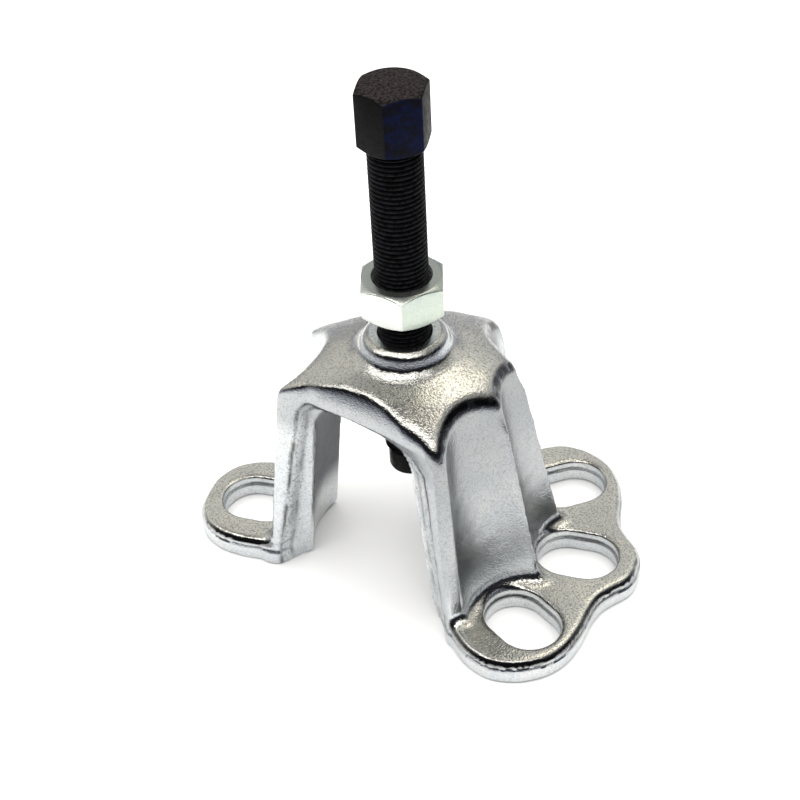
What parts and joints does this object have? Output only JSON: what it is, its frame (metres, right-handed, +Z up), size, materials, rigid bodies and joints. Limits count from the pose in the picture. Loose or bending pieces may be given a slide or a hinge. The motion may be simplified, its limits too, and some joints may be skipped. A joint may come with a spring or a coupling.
{
  "type": "bolt-on wheel hub puller",
  "caption": "Bolt-on flange puller: a forged two-legged yoke with slotted feet, a threaded forcing screw through its boss and a lock nut.",
  "frame": {"origin": "on the screw axis, in the plane that the undersides of the feet lie in", "axes": "+Z up the forcing screw to its hexagon head; +X towards the wide leg with three slots, -X towards the narrow leg with one slot"},
  "size_m": [0.1482, 0.1044, 0.1702],
  "materials": {
    "plated_forging": "bright plating over a forged surface",
    "black_oxide": "black oxide, slightly oiled",
    "zinc_plate": "smooth bright zinc plate"
  },
  "bodies": {
    "yoke": {"yoke": "plated_forging"},
    "point": {"screw_point": "black_oxide"},
    "screw": {"forcing_screw": "black_oxide"},
    "nut": {"lock_nut": "zinc_plate"}
  },
  "joints": [
    {"name": "screw_feed", "type": "slide", "parent": "yoke", "child": "point", "axis": [0, 0, 1], "range_m": [-0.033, 0.024]},
    {"name": "screw_turn", "type": "hinge", "parent": "point", "child": "screw", "pos_m": [0, 0, 0.1], "axis": [0, 0, 1], "range_deg": [-7930, 5770]},
    {"name": "nut_travel", "type": "slide", "parent": "yoke", "child": "nut", "axis": [0, 0, 1], "range_m": [-0.0075, 0.0075]}
  ],
  "couplings": [
    {"joint": "screw_turn", "follows": "screw_feed", "rad_per_m": 4188.8}
  ]
}
